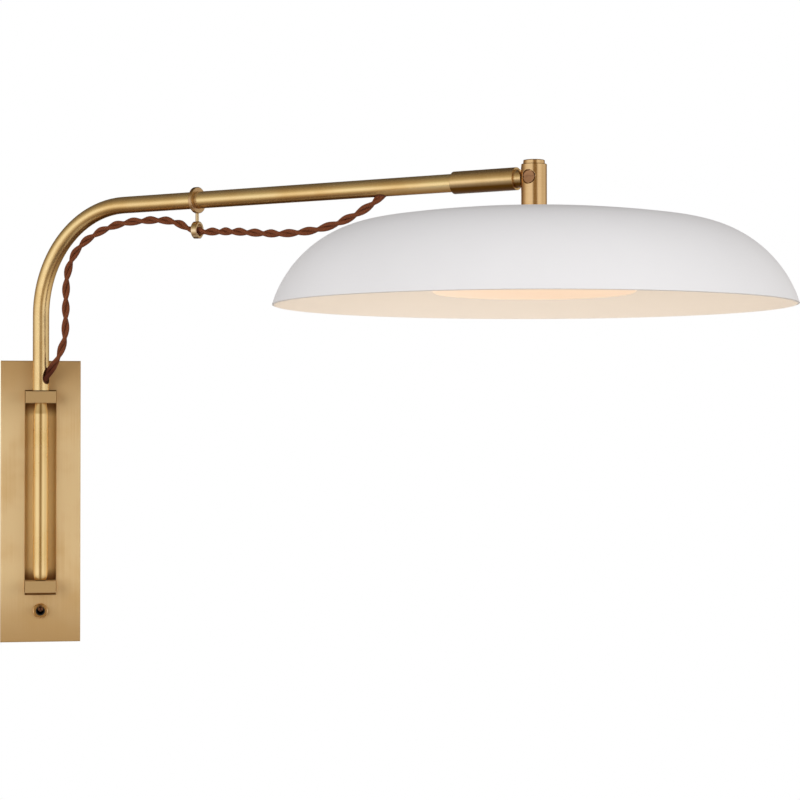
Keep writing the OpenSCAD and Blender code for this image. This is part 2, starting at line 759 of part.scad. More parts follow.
module cord() {
    flat = [for (p = finer(CORD)) [p[0], 0, p[1]]];
    color("sienna") on_arm() swept(flat, cord_d, cord_sides, [0, 1, 0]);
}

module arm_stud() {
    head_d = tube_bore_d - 2 * fixed_gap;
    low = gap_top - face_gap - pivot_engage;
    color("goldenrod") on_post() difference() {
        union() {
            translate([0, 0, low]) cylinder(d = stud_d, h = tube_bottom - low);
            translate([0, 0, tube_bottom]) cylinder(d = head_d, h = stud_head_h);
        }
        translate([0, 0, low - cut])
            cylinder(d = lead_bore_d, h = tube_bottom + stud_head_h - low + 2 * cut);
    }
}

module thrust_washer() {
    color("dimgray") on_post() translate([0, 0, yoke_top]) difference() {
        cylinder(d = tube_d - 0.2, h = thrust_t);
        translate([0, 0, -cut]) cylinder(d = stud_d + 2 * fixed_gap, h = thrust_t + 2 * cut);
    }
}

module pivot_rod() {
    top = gap_top - face_gap;
    bottom = gap_bottom + face_gap;
    nose_steps = 6;
    nose = [for (i = [0 : nose_steps]) let (a = 90 * i / nose_steps)
        [rod_bottom_d / 2 + (rod_d - rod_bottom_d) / 2 * sin(a), bottom + rod_taper * (1 - cos(a))]];
    color("goldenrod") on_post() difference() {
        rotate_extrude() polygon([[0, bottom], each nose, [rod_d / 2, top - rod_taper],
            [rod_top_d / 2, top], [0, top]]);
        translate([0, 0, bottom - cut]) cylinder(d = lead_bore_d, h = top - bottom + 2 * cut);
        translate([0, 0, top - pivot_engage]) cylinder(d = stud_d + 2 * fixed_gap, h = pivot_engage + cut);
        translate([0, 0, bottom - cut]) cylinder(d = pin_d + 2 * fixed_gap, h = pivot_engage + cut);
    }
}

module lower_pin() {
    low = gap_bottom - lower_bush_h + face_gap;
    high = gap_bottom + face_gap + pivot_engage;
    color("silver") on_post() difference() {
        translate([0, 0, low]) cylinder(d = pin_d, h = high - low);
        translate([0, 0, low - cut]) cylinder(d = lead_bore_d, h = high - low + 2 * cut);
    }
}

module cord_collar() {
    color("peru") on_arm() translate([collar_at, 0, 0]) difference() {
        eased_ring(collar_d, tube_d + 2 * fixed_gap, collar_w, 0);
        translate([0, 0, -collar_d]) cylinder(d = stem_spigot_d + 2 * fixed_gap, h = collar_d);
        translate([0, collar_d, 0]) forward(collar_screw_d + 2 * fixed_gap, collar_d);
    }
}

module collar_set_screw() {
    seat = tube_d / 2 + fixed_gap;
    out = collar_d / 2 - collar_screw_sunk;
    color("dimgray") on_arm() translate([collar_at, out, 0]) difference() {
        forward(collar_screw_d, out - seat);
        rotate([90, 0, 0]) translate([0, 0, -cut]) hexagon(collar_screw_d / 2, cut + 1);
    }
}

module cord_eye() {
    rise = (eye_d + eye_bore_d) / 4;
    color("burlywood") on_arm() translate([collar_at, 0, -eye_drop]) rotate([0, 0, eye_turn]) {
        eased_ring(eye_d, eye_bore_d, eye_w, ring_ease);
        translate([0, 0, rise]) cylinder(d = stem_d, h = eye_drop - collar_d / 2 - stem_seat - rise);
        translate([0, 0, rise]) cylinder(d = stem_spigot_d, h = eye_drop - tube_d / 2 - fixed_gap - rise);
    }
}

module end_sleeve() {
    color("darkgoldenrod") on_arm() difference() {
        translate([sleeve_from, 0, 0]) along(sleeve_d, sleeve_len);
        translate([sleeve_from - cut, 0, 0]) along(sleeve_bore_d, sleeve_len + 2 * cut);
        for (x = [sleeve_screw_at, groove_at])
            translate([x, 0, -sleeve_d]) cylinder(d = set_screw_d + 2 * fixed_gap, h = sleeve_d);
    }
}

module sleeve_set_screws() {
    low = -sleeve_d / 2 + set_screw_sunk;
    depths = [-tube_bore_d / 2, -groove_d / 2 - face_gap];
    places = [sleeve_screw_at, groove_at];
    color("dimgray") on_arm() for (i = [0, 1]) translate([places[i], 0, low]) difference() {
        cylinder(d = set_screw_d, h = depths[i] - low);
        translate([0, 0, -cut]) hexagon(1.5, cut + 1);
    }
}

// The groove for the sleeve's screw leaves a stop at the top of the neck
module roll_groove() {
    half = roll_half + asin((set_screw_d / 2 + screw_gap) / (groove_d / 2));
    width = set_screw_d + 2 * screw_gap;
    rotate([0, 90, 0]) translate([0, 0, -width / 2]) rotate_extrude(angle = 2 * half, start = -half)
        translate([groove_d / 2, 0]) square([neck_d, width]);
}

module swivel_neck() {
    color("goldenrod") on_head() difference() {
        union() {
            difference() {
                translate([journal_from - arm_len, 0, 0]) along(neck_d, arm_len - journal_from - neck_end);
                knuckle_room();
            }
            block([-knuckle_d / 2 - 2, -tongue_t / 2, -tongue_h / 2], [0, tongue_t / 2, tongue_h / 2]);
            translate([0, tongue_t / 2, 0]) forward(tongue_h, tongue_t);
        }
        translate([0, tongue_t, 0]) forward(tilt_screw_d + 2 * run_gap, 2 * tongue_t);
        translate([journal_from - arm_len - cut, 0, 0])
            along(neck_bore_d, arm_len - journal_from - lead_turn + cut);
        translate([-lead_turn, 0, 0]) rotate([0, 150, 0]) cylinder(d = 3, h = tongue_h);
        translate([groove_at - arm_len, 0, 0]) roll_groove();
    }
}

// The room that the knuckle needs at the neck's end, upright and at its largest tilt
module knuckle_room() {
    for (tilt = [0, -tilt_max]) rotate([0, tilt, 0]) translate([0, 0, -2 * neck_d])
        cylinder(d = knuckle_d + 2 * neck_gap, h = 4 * neck_d, $fn = fine);
}

module knuckle() {
    color("peru") on_head() difference() {
        rotate_extrude() polygon([[0, shade_top], [knuckle_d / 2, shade_top],
            [knuckle_d / 2, knuckle_up - knuckle_edge], [knuckle_d / 2 - knuckle_edge, knuckle_up],
            [0, knuckle_up]]);
        translate([0, pocket_w / 2, 0]) forward(2 * pocket_r, pocket_w);
        translate([0, pocket_w / 2, 0]) rotate([90, 0, 0]) linear_extrude(pocket_w) polygon([
            [0, -slot_r], [-knuckle_d, -slot_r],
            [slot_r * sin(tilt_max) - knuckle_d, slot_r * cos(tilt_max) + knuckle_d * tan(tilt_max)],
            [slot_r * sin(tilt_max), slot_r * cos(tilt_max)]]);
        translate([0, knuckle_d, 0]) forward(tilt_screw_d + 2 * run_gap, 2 * knuckle_d);
        for (s = [-1, 1]) translate([0, s > 0 ? head_seat + knuckle_d : -head_seat, 0])
            forward(counterbore_d, knuckle_d);
        translate([0, 0, shade_top - cut]) cylinder(d = nipple_hole_d, h = nipple_grip + cut);
        translate([0, 0, shade_top]) cylinder(d = nipple_bore_d - 1, h = shade_drop);
        translate([0, 0, knuckle_up - cap_spigot_h - 0.1])
            cylinder(d = cap_spigot_d + 2 * fixed_gap, h = cap_spigot_h + cut);
    }
}

module knuckle_cap() {
    edge = 0.4;
    color("peru") on_head() translate([0, 0, knuckle_up]) rotate_extrude() polygon([
        [0, -cap_spigot_h], [cap_spigot_d / 2, -cap_spigot_h], [cap_spigot_d / 2, 0],
        [cap_d / 2, 0], [cap_d / 2, cap_h - edge], [cap_d / 2 - edge, cap_h], [0, cap_h]]);
}

module tilt_washers() {
    color("dimgray") on_head() for (y = [tongue_t / 2 + tilt_washer_t + 0.01, -tongue_t / 2 - 0.01])
        translate([0, y, 0]) difference() {
            forward(tongue_h - 1, tilt_washer_t);
            translate([0, cut, 0]) forward(tilt_screw_d + 2 * run_gap, tilt_washer_t + 2 * cut);
        }
}

module pivot_screw() {
    head_out = head_seat + tilt_head_t;
    color("rosybrown") on_head() difference() {
        union() {
            translate([0, head_out - 0.4, 0]) forward(tilt_screw_d, head_out + head_seat - 0.4);
            translate([0, -head_seat, 0]) forward(tilt_head_d, tilt_head_t);
        }
        block([-tilt_head_d, -head_out - cut, -screw_slot_w / 2],
            [tilt_head_d, -head_out + screw_slot_d, screw_slot_w / 2]);
    }
}

module pivot_nut() {
    color("rosybrown") on_head() translate([0, head_seat + tilt_head_t, 0]) difference() {
        forward(tilt_head_d, tilt_head_t);
        translate([0, cut, 0]) forward(tilt_screw_d + 2 * fixed_gap, tilt_head_t + 2 * cut);
        block([-tilt_head_d, -screw_slot_d, -screw_slot_w / 2], [tilt_head_d, cut, screw_slot_w / 2]);
    }
}

module hanger_nipple() {
    high = shade_top + nipple_grip - 0.3;
    color("darkgoldenrod") on_head() difference() {
        translate([0, 0, nipple_bottom]) cylinder(d = nipple_d, h = high - nipple_bottom);
        translate([0, 0, nipple_bottom - cut])
            cylinder(d = nipple_bore_d, h = high - nipple_bottom + 2 * cut);
    }
}

// One skin of the shade, its points from the middle to the rim
function shade_skin(inset) = [
    for (i = [0 : crown_steps]) let (a = crown_angle * i / crown_steps)
        [(crown_arc_r - inset) * sin(a), -crown_arc_r + (crown_arc_r - inset) * cos(a)],
    for (i = [1 : shoulder_steps]) let (a = crown_angle + (rim_angle - crown_angle) * i / shoulder_steps)
        [shoulder_x + (shoulder_r - inset) * sin(a), -shoulder_z + (shoulder_r - inset) * cos(a)]];

module shade() {
    outer = shade_skin(0);
    inner = shade_skin(shade_t);
    last = len(inner) - 1;
    color("white") on_head() translate([0, 0, shade_top]) difference() {
        rotate_extrude($fn = fine) polygon([each outer, for (i = [0 : last]) inner[last - i]]);
        translate([0, 0, -shade_h]) cylinder(d = nipple_hole_d, h = 2 * shade_h);
    }
}

module shade_washer() {
    color("silver") on_head() translate([0, 0, washer_top - shade_washer_t]) difference() {
        cylinder(d = shade_washer_d, h = shade_washer_t);
        translate([0, 0, -cut]) cylinder(d = nipple_hole_d, h = shade_washer_t + 2 * cut);
    }
}

module nipple_nuts() {
    color("silver") on_head() for (z = [shade_nut_top - nut_h, pan_top, pan_floor - nut_h])
        translate([0, 0, z]) difference() {
            hexagon(nut_flats, nut_h);
            translate([0, 0, -cut]) cylinder(d = nipple_hole_d, h = nut_h + 2 * cut);
        }
}

// The three places of the board's screws, and of the ring's screws
module at_thirds(r) {
    for (a = [90, 210, 330]) rotate([0, 0, a]) translate([r, 0, 0]) children();
}

module at_driver_feet() {
    for (s = [-1, 1]) translate([driver_x + driver_len / 2, s * (driver_w / 2 + driver_foot / 2), pan_top])
        children();
}

module light_pan() {
    color("gainsboro") on_head() difference() {
        translate([0, 0, pan_rim]) cylinder(d = pan_d, h = pan_h, $fn = fine);
        translate([0, 0, pan_rim - cut])
            cylinder(d = pan_d - 2 * pan_t, h = pan_h - pan_t + cut, $fn = fine);
        translate([0, 0, pan_floor - cut]) cylinder(d = nipple_hole_d, h = pan_t + 2 * cut);
        at_thirds(board_screw_r) translate([0, 0, pan_floor - cut])
            cylinder(d = board_screw_d + 2 * fixed_gap, h = pan_t + 2 * cut);
        at_driver_feet() translate([0, 0, -pan_t - cut])
            cylinder(d = driver_screw_d + 2 * fixed_gap, h = pan_t + 2 * cut);
        at_thirds(pan_d / 2) translate([-2 * pan_t, 0, pan_rim + ring_skirt / 2])
            along(ring_screw_d + 2 * fixed_gap, 4 * pan_t);
    }
}

module driver() {
    wide = driver_w + 2 * driver_foot;
    color("white") on_head() translate([driver_x, 0, pan_top]) difference() {
        union() {
            block([0, -driver_w / 2, 0], [driver_len, driver_w / 2, driver_h]);
            block([driver_len / 2 - driver_foot, -wide / 2, 0],
                [driver_len / 2 + driver_foot, wide / 2, driver_foot_t]);
        }
        for (s = [-1, 1]) translate([driver_len / 2, s * (driver_w + driver_foot) / 2, -cut])
            cylinder(d = driver_screw_d + 2 * screw_gap, h = driver_foot_t + 2 * cut);
    }
}

module driver_screws() {
    color("silver") on_head() at_driver_feet() translate([0, 0, driver_foot_t])
        pan_screw(driver_screw_d, 5, 1.8, driver_foot_t + pan_t);
}

module heat_spreader() {
    color("silver") on_head() translate([0, 0, spreader_bottom]) difference() {
        cylinder(d = board_d + 6, h = spreader_t, $fn = fine);
        translate([0, 0, -cut]) cylinder(d = engine_hole_d, h = spreader_t + 2 * cut);
        at_thirds(board_screw_r) translate([0, 0, -cut])
            cylinder(d = board_screw_d + 2 * screw_gap, h = spreader_t + 2 * cut);
        at_driver_feet_through();
    }
}

// Clearance in the spreader below the driver's screws
module at_driver_feet_through() {
    for (s = [-1, 1]) translate([driver_x + driver_len / 2, s * (driver_w / 2 + driver_foot / 2), -cut])
        cylinder(d = driver_screw_d + 2 * screw_gap, h = spreader_t + 2 * cut);
}

module led_board() {
    color("white") on_head() translate([0, 0, board_bottom]) difference() {
        cylinder(d = board_d, h = board_t, $fn = fine);
        translate([0, 0, -cut]) cylinder(d = engine_hole_d, h = board_t + 2 * cut);
        at_thirds(board_screw_r) translate([0, 0, -cut])
            cylinder(d = board_screw_d + 2 * screw_gap, h = board_t + 2 * cut);
    }
}

module led_chips() {
    color("khaki") on_head() {
        for (i = [0 : emitters - 1]) rotate([0, 0, 360 * (i + 0.5) / emitters]) chip(chip_outer_r);
        for (i = [0 : emitters / 2 - 1]) rotate([0, 0, 720 * (i + 0.5) / emitters]) chip(chip_inner_r);
    }
}

module chip(r) {
    translate([r - chip_w / 2, -chip_w / 2, board_bottom - chip_t]) cube([chip_w, chip_w, chip_t]);
}

module board_screws() {
    color("silver") on_head() at_thirds(board_screw_r) translate([0, 0, board_bottom]) mirror([0, 0, 1])
        pan_screw(board_screw_d, 5.5, 1.8, board_t + spreader_t + pan_t);
}

// One skin of the diffuser: a low dome with a rounded edge, from the middle outwards
function lens_skin(inset) = let (
    r = diffuser_d / 2 - inset, fall = diffuser_fall - inset, corner = lens_corner_r - inset,
    knee_x = r - corner, knee_fall = fall - lens_corner_r * 0.45)
    [for (i = [0 : 8]) [knee_x * i / 8, -fall + (fall - knee_fall) * pow(i / 8, 2)],
    for (i = [1 : 5]) let (a = 90 * i / 5) [knee_x + corner * sin(a), -knee_fall * cos(a)]];

module diffuser() {
    outer = lens_skin(0);
    inner = lens_skin(diffuser_t);
    last = len(inner) - 1;
    color("antiquewhite") on_head() translate([0, 0, lens_bottom]) union() {
        rotate_extrude($fn = fine) polygon([each outer, [diffuser_d / 2, lens_flange_t],
            [diffuser_d / 2 - diffuser_t, lens_flange_t], for (i = [0 : last]) inner[last - i]]);
        difference() {
            cylinder(r = lens_flange_r, h = lens_flange_t, $fn = fine);
            translate([0, 0, -cut])
                cylinder(r = diffuser_d / 2 - diffuser_t / 2, h = lens_flange_t + 2 * cut, $fn = fine);
        }
    }
}

module diffuser_ring() {
    out_r = ring_in_r + ring_t;
    color("white") on_head() difference() {
        translate([0, 0, lens_bottom - ring_t]) cylinder(r = out_r, h = ring_skirt + ring_t, $fn = fine);
        translate([0, 0, lens_bottom - face_gap / 2]) cylinder(r = ring_in_r, h = 2 * ring_skirt, $fn = fine);
        translate([0, 0, lens_bottom - 2 * ring_t])
            cylinder(r = diffuser_d / 2 + lens_in, h = 3 * ring_t, $fn = fine);
        at_thirds(pan_d / 2) translate([-ring_t, 0, pan_rim + ring_skirt / 2])
            along(ring_screw_d + 2 * screw_gap, 4 * ring_t);
    }
}

module ring_screws() {
    color("silver") on_head() at_thirds(ring_in_r + ring_t) translate([0, 0, pan_rim + ring_skirt / 2])
        rotate([0, 90, 0]) pan_screw(ring_screw_d, 4.4, 1.3, ring_t + pan_t + 0.6);
}

back_plate();
yoke();
yoke_nuts();
mounting_strap();
plate_screws();
ground_screw();
upper_bush();
lower_bush();
terminal_block();
terminal_screws();
switch_leads();
ground_lead();
switch_body();
switch_terminals();
switch_nut();
switch_lever();
arm_tube();
arm_stud();
thrust_washer();
pivot_rod();
lower_pin();
cord_collar();
collar_set_screw();
cord_eye();
lower_ferrule();
upper_ferrule();
cord();
end_sleeve();
sleeve_set_screws();
swivel_neck();
knuckle();
knuckle_cap();
tilt_washers();
pivot_screw();
pivot_nut();
hanger_nipple();
shade();
shade_washer();
nipple_nuts();
light_pan();
driver();
driver_screws();
heat_spreader();
led_board();
led_chips();
board_screws();
diffuser();
diffuser_ring();
ring_screws();
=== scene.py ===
"""Looks for the articulating wall light: a fixed camera, studio light, materials and the twisted cord."""

import math

import bpy
import numpy as np
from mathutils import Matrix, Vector


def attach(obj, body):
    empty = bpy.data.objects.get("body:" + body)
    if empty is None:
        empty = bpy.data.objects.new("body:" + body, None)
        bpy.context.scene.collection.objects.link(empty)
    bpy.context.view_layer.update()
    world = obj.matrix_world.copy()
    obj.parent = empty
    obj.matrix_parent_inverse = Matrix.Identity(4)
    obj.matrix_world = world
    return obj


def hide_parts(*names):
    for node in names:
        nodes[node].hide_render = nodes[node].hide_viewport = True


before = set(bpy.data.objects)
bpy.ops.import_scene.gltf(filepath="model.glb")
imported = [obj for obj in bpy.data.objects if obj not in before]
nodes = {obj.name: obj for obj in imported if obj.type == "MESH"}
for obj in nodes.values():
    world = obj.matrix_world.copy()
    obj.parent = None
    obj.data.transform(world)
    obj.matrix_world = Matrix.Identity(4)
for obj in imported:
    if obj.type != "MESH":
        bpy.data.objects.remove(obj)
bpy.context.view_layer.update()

MM = 0.001
# The arm's upright plane: its turn out from the wall, where the swing axis stands, the height of
# the arm's axis, and the distance in millimetres from the swing axis to the shade's middle
SWING = math.radians(41.4)
POST_Y = -18.85 * MM
ARM_Z = 227.0 * MM
ARM_REACH = 436


def on_arm(s, y, z):
    """A point given in millimetres in the arm's own frame, in the shared frame in metres."""
    s, y, z = s * MM, y * MM, z * MM
    return Vector((
        s * math.cos(SWING) + y * math.sin(SWING),
        POST_Y - s * math.sin(SWING) + y * math.cos(SWING),
        ARM_Z + z,
    ))


def in_scene(name, data):
    """A new object that shows the data."""
    obj = bpy.data.objects.new(name, data)
    bpy.context.scene.collection.objects.link(obj)
    return obj


# The camera that was fitted to the photograph: its focal length in pixels, for a picture of
# IMAGE_PX pixels across, its place in metres, and its turns up from straight down and to the side
FOCAL_PX = 2249.6
IMAGE_PX = 800.0
SENSOR_WIDTH = 36.0
CAMERA_PLACE = (-0.0219, -1.7961, 0.0536)
CAMERA_TURN = (math.radians(90.833), 0, math.radians(-9.777))


def camera():
    """The view of the photograph."""
    data = bpy.data.cameras.new("camera")
    data.sensor_width = SENSOR_WIDTH
    data.lens = SENSOR_WIDTH * FOCAL_PX / IMAGE_PX
    obj = in_scene("camera", data)
    obj.location = CAMERA_PLACE
    obj.rotation_euler = CAMERA_TURN
    bpy.context.scene.camera = obj


camera()

# The route of the cord's middle in the arm's upright plane, in millimetres: the
# distance from the swing axis, then the height from the arm's axis.
CORD = [(3.7, -132.6), (6.3, -129.1), (11.8, -122.2), (16.9, -115.6), (20.9, -107.7), (24, -99.4),
        (24.8, -85.1), (25, -70.3), (25.8, -54.6), (30, -40.6), (39.6, -29.1), (52.8, -21.5),
        (67.8, -16.2), (84, -13.4), (99.7, -12.7), (116.4, -13), (131.2, -15.4), (143.2, -20.4),
        (151.4, -22.8), (160, -23.8), (172.3, -24.2), (184.6, -24.8), (197.4, -26), (211.5, -27.3),
        (226.3, -28.3), (242.4, -28.2), (259.8, -26.7), (277.2, -23), (292.8, -17.4), (305.2, -11.4),
        (312.4, -6.3), (316.2, -3.4)]
# The radius of each core and how far it lies from the middle, along the cord and at its two
# ends, and how far from an end the one form turns into the other
STRAND_R, STRAND_OUT = 1.54 * MM, 1.53 * MM
END_R, END_OUT = 2.15 * MM, 0.9 * MM
END_REACH = 9.0 * MM
# The lay of the two cores: distance along the cord in millimetres, then the turn in degrees.
LAY = [(0, 159), (22.9, -37), (38.6, -220), (54.1, -400), (68.9, -580), (84.2, -760), (98.8, -938),
       (113.4, -1112), (128.7, -1284), (144.1, -1458), (160, -1632), (176.8, -1807), (192.5, -1984),
       (207.7, -2156), (221.7, -2330), (238, -2524), (251.2, -2705), (262.7, -2884), (276.3, -3062),
       (290.9, -3243), (305.2, -3425), (321.8, -3608), (338.7, -3791), (356.5, -3976), (372.7, -4160),
       (389.2, -4344), (402, -4494)]
# How finely the cord is drawn: steps between two points of the route, the distance between two
# rings of a core, and the points of a ring
CURVE_STEPS = 16
RING_STEP = 1.0 * MM
RING_SIDES = 14


def finer(points):
    """The points with one more between each pair, on the same smooth curve that the solid follows."""
    n, out = len(points), []
    for i, p in enumerate(points):
        out.append(p)
        if i < n - 1:
            a, b, c, d = points[max(i - 1, 0)], p, points[i + 1], points[min(i + 2, n - 1)]
            out.append(tuple((-a[k] + 9 * b[k] + 9 * c[k] - d[k]) / 16 for k in range(2)))
    return out


cord_rings = [on_arm(s, 0, z) for s, z in finer(CORD)]


def resample(points, step):
    """Evenly spaced points on a Catmull-Rom curve through the given ones, and how far along it they are."""
    p = np.array([list(v) for v in points])
    fine = []
    for i in range(len(p) - 1):
        a, b, c, d = p[max(i - 1, 0)], p[i], p[i + 1], p[min(i + 2, len(p) - 1)]
        for t in np.linspace(0, 1, CURVE_STEPS, endpoint=False):
            fine.append(0.5 * (2 * b + (c - a) * t + (2 * a - 5 * b + 4 * c - d) * t * t
                               + (3 * b - 3 * c + d - a) * t ** 3))
    fine = np.array(fine + [p[-1]])
    length = np.concatenate([[0], np.cumsum(np.linalg.norm(np.diff(fine, axis=0), axis=1))])
    count = int(round(length[-1] / step))
    at = np.linspace(0, length[-1], count + 1)
    return np.stack([np.interp(at, length, fine[:, k]) for k in range(3)], axis=1), at


def mesh_object(name, verts, faces, uvs=None):
    """A smooth mesh object, with one uv pair for each face corner if given."""
    mesh = bpy.data.meshes.new(name)
    mesh.from_pydata([tuple(v) for v in verts], [], faces)
    if uvs is not None:
        layer = mesh.uv_layers.new(name="lay")
        layer.data.foreach_set("uv", np.array(uvs, dtype=np.float32).ravel())
    mesh.polygons.foreach_set("use_smooth", [True] * len(mesh.polygons))
    mesh.update()
    return in_scene(name, mesh)


def units(rows):
    """Each row scaled to length 1."""
    return rows / np.linalg.norm(rows, axis=1)[:, None]


def off_ends(at):
    """0 at the cord's two ends, rising smoothly to 1 at END_REACH from them."""
    t = np.clip(np.minimum(at, at[-1] - at) / END_REACH, 0, 1)
    return t * t * (3 - 2 * t)


def core_points(centre, radius, out):
    """The points of one core: a ring round each point of its middle, which starts on its outer side."""
    along = units(np.gradient(centre, axis=0))
    a = units(out - np.sum(out * along, axis=1)[:, None] * along)
    b = np.cross(along, a)
    turns = [2 * math.pi * k / RING_SIDES for k in range(RING_SIDES)]
    return [centre[i] + radius[i] * (math.cos(w) * a[i] + math.sin(w) * b[i])
            for i in range(len(centre)) for w in turns]


def core_faces(at, first):
    """The faces of one core whose points start at number first, and the uv pairs of their corners.

    u is the distance along the cord in millimetres, and v goes from 0 to 1 round the core."""
    faces, uvs = [], []
    for i in range(len(at) - 1):
        for k in range(RING_SIDES):
            n = (k + 1) % RING_SIDES
            o = first + i * RING_SIDES
            faces.append((o + k, o + n, o + RING_SIDES + n, o + RING_SIDES + k))
            u0, u1 = at[i] / MM, at[i + 1] / MM
            v0, v1 = k / RING_SIDES, (k + 1) / RING_SIDES
            uvs += [(u0, v0), (u0, v1), (u1, v1), (u1, v0)]
    last = first + (len(at) - 1) * RING_SIDES
    faces.append(tuple(first + k for k in reversed(range(RING_SIDES))))
    faces.append(tuple(last + k for k in range(RING_SIDES)))
    uvs += [(0, 0)] * 2 * RING_SIDES
    return faces, uvs


def twisted_pair(name, points):
    """Two braided cores laid round each other along a route in the arm's upright plane, and its length."""
    route, at = resample(points, RING_STEP)
    side = np.array([math.sin(SWING), math.cos(SWING), 0.0])
    up = np.cross(side, units(np.gradient(route, axis=0)))
    distances, degrees = zip(*LAY)
    lay = np.radians(np.interp(at / MM, distances, degrees))
    radius = END_R + (STRAND_R - END_R) * off_ends(at)
    apart = END_OUT + (STRAND_OUT - END_OUT) * off_ends(at)
    verts, faces, uvs = [], [], []
    for turn in (lay, lay + math.pi):
        out = np.cos(turn)[:, None] * side + np.sin(turn)[:, None] * up
        core, corners = core_faces(at, len(verts))
        verts += core_points(route + apart[:, None] * out, radius, out)
        faces += core
        uvs += corners
    return mesh_object(name, verts, faces, uvs), float(at[-1])


cord_piece, cord_length = twisted_pair("twisted_cord", cord_rings)
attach(cord_piece, "arm")
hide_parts("cord")


# Materials
WHITE = (1, 1, 1)
BEVEL_SAMPLES = 6
OPENNESS_SAMPLES = 8


class Graph:
    """A node tree being built."""

    def __init__(self, tree):
        self.tree = tree
        self.tree.nodes.clear()

    def link(self, a, b):
        self.tree.links.new(a, b)

    def add(self, kind, inputs=None, **values):
        """A node with its settings, and its inputs linked to outputs or set to values."""
        node = self.tree.nodes.new(kind)
        for k, v in values.items():
            setattr(node, k, v)
        for k, v in (inputs or {}).items():
            if isinstance(v, bpy.types.NodeSocket):
                self.link(v, node.inputs[k])
            else:
                node.inputs[k].default_value = v
        return node

    def math(self, op, *values):
        return self.add("ShaderNodeMath", dict(enumerate(values)), operation=op).outputs[0]

    def parts(self, vector):
        """The x, y and z of a vector."""
        return self.add("ShaderNodeSeparateXYZ", {0: vector}).outputs

    def object_coords(self, scale=(1, 1, 1), turn=0.0):
        """The piece's own coordinates, turned round its upright axis and then scaled."""
        at = self.add("ShaderNodeTexCoord").outputs["Object"]
        if turn:
            at = self.add("ShaderNodeMapping", {"Vector": at, "Rotation": (0, 0, turn)}).outputs[0]
        return self.add("ShaderNodeMapping", {"Vector": at, "Scale": scale}).outputs[0]

    def noise(self, vector, scale, detail=3.0):
        inputs = {"Vector": vector, "Scale": scale, "Detail": detail}
        return self.add("ShaderNodeTexNoise", inputs).outputs["Fac"]

    def between(self, value, start, stop, easing="LINEAR"):
        """0 at start to 1 at stop"""
        inputs = {"Value": value, "From Min": start, "From Max": stop}
        return self.add("ShaderNodeMapRange", inputs, interpolation_type=easing).outputs[0]

    def mix(self, share, a, b, blend="MIX"):
        """From a at 0 to b at 1, each a colour or an output."""
        a, b = (c if isinstance(c, bpy.types.NodeSocket) else (*c, 1) for c in (a, b))
        node = self.add("ShaderNodeMix", {0: share, 6: a, 7: b}, data_type="RGBA", blend_type=blend)
        return node.outputs[2]

    def ramp(self, fac, stops):
        node = self.add("ShaderNodeValToRGB", {"Fac": fac})
        ramp = node.color_ramp
        while len(ramp.elements) < len(stops):
            ramp.elements.new(0.5)
        for element, (at, colour) in zip(ramp.elements, stops):
            element.position = at
            element.color = (*colour, 1)
        return node.outputs["Color"]


class Nodes(Graph):
    """A material being built from nodes round one principled shader."""

    def __init__(self, name):
        self.material = bpy.data.materials.new(name)
        self.material.use_nodes = True
        super().__init__(self.material.node_tree)
        self.out = self.add("ShaderNodeOutputMaterial")
        self.shader = self.add("ShaderNodeBsdfPrincipled")
        self.link(self.shader.outputs[0], self.out.inputs["Surface"])

    def set(self, **values):
        """Links or sets the shader's own sockets, whose names are written with _ for a space."""
        for k, v in values.items():
            socket = self.shader.inputs[k.replace("_", " ")]
            if isinstance(v, bpy.types.NodeSocket):
                self.link(v, socket)
            else:
                socket.default_value = v

    def span(self, value, low, high):
        """value from 0..1 to low..high"""
        return self.add("ShaderNodeMapRange", {"Value": value, "To Min": low, "To Max": high}).outputs[0]

    def bump(self, height, distance, strength=1.0, normal=None):
        inputs = {"Height": height, "Distance": distance, "Strength": strength}
        if normal is not None:
            inputs["Normal"] = normal
        return self.add("ShaderNodeBump", inputs).outputs[0]

    def soft_edges(self, radius):
        return self.add("ShaderNodeBevel", {"Radius": radius}, samples=BEVEL_SAMPLES).outputs[0]


def srgb(r, g, b):
    """A colour given as screen values 0..255, as the linear values that sockets take."""
    def one(c):
        c = c / 255
        return c / 12.92 if c <= 0.04045 else ((c + 0.055) / 1.055) ** 2.4
    return one(r), one(g), one(b)


def scaled(colour, share):
    return tuple(min(1, c * share) for c in colour)


# The noise scale along x, y and z that draws out a grain
GRAIN_UP = (900, 900, 10)
GRAIN_ARM = (12, 900, 900)
GRAIN_ROUND_Z = (20, 20, 1400)
GRAIN_ROUND_ARM = (1400, 20, 20)
GRAIN_EVEN = (400, 400, 400)
GRAIN_SHEET = (900, 900, 40)
# Places in a vector
Y, Z = 1, 2
# How far the grime and painted shade in corners looks for neighbours, and the openness where it is full and
# where it ends
CORNERS = dict(reach=5 * MM, shut=0.0, clear=0.4)
SMALL_CORNERS = dict(reach=3 * MM, shut=0.0, clear=0.3)
# How much of each of red, green and blue the corner grime and painted shade leaves, the roughness of the
# plate and yoke, and how much the rubbed lines count in the patina beside its clouds
GRIME_AND_SHADE = (0.30, 0.22, 0.12)
SATIN = (0.48, 0.54)
LINE_SHARE = 0.2


def painted_shade_along(m, colour, axis, start, stop, shaded_tone):
    """The colour, turning into another, a painted shade, between two distances from the middle along an
    axis.
    """
    place = m.math("ABSOLUTE", m.parts(m.object_coords())[axis])
    return m.mix(m.between(place, start, stop, "SMOOTHSTEP"), colour, shaded_tone)


def painted_underside_shade(m, colour, start, stop, underside_tone):
    """The colour, turning into a painted shade on faces that lean down, from start to stop (1 is straight
    down).
    """
    lean = m.parts(m.add("ShaderNodeTexCoord").outputs["Normal"])[Z]
    return m.mix(m.between(lean, -start, -stop), colour, underside_tone)


